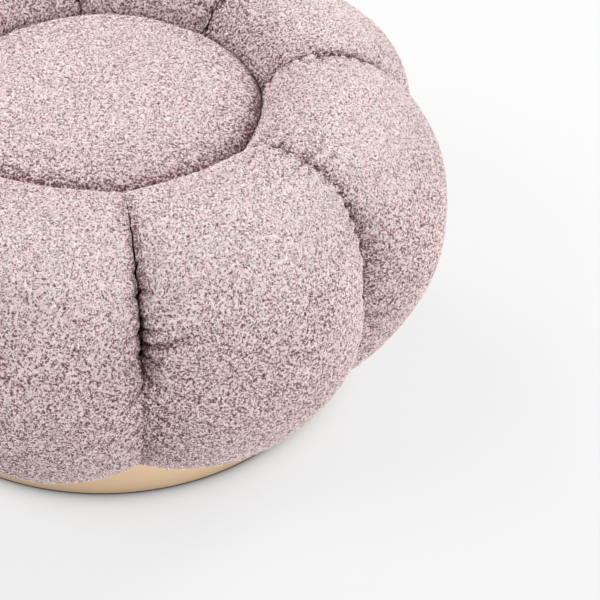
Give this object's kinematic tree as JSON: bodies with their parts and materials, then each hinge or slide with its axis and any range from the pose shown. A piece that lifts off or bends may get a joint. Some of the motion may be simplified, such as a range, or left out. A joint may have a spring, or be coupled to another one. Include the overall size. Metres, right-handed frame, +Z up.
{
  "type": "round petal footstool",
  "caption": "Round bouclé footstool: plump petals stand in a ring around a crowned seat pad, on a low round gold metal plinth.",
  "frame": {"origin": "centre of the plinth's underside, on the floor", "axes": "+Z up; -Y is the front, through the middle of petal_1; petal_2 to petal_8 follow round towards +X"},
  "size_m": [0.7999, 0.8, 0.394],
  "materials": {
    "boucle_cloth": "dusty pink looped bouclé, matt with a soft sheen on the curls",
    "plinth_metal": "pale champagne gold sheet, finely brushed round the drum, satin"
  },
  "bodies": {
    "root": {"petal_1": "boucle_cloth", "petal_2": "boucle_cloth", "petal_3": "boucle_cloth", "petal_4": "boucle_cloth", "petal_5": "boucle_cloth", "petal_6": "boucle_cloth", "petal_7": "boucle_cloth", "petal_8": "boucle_cloth", "seat_pad": "boucle_cloth", "plinth": "plinth_metal"}
  },
  "joints": []
}
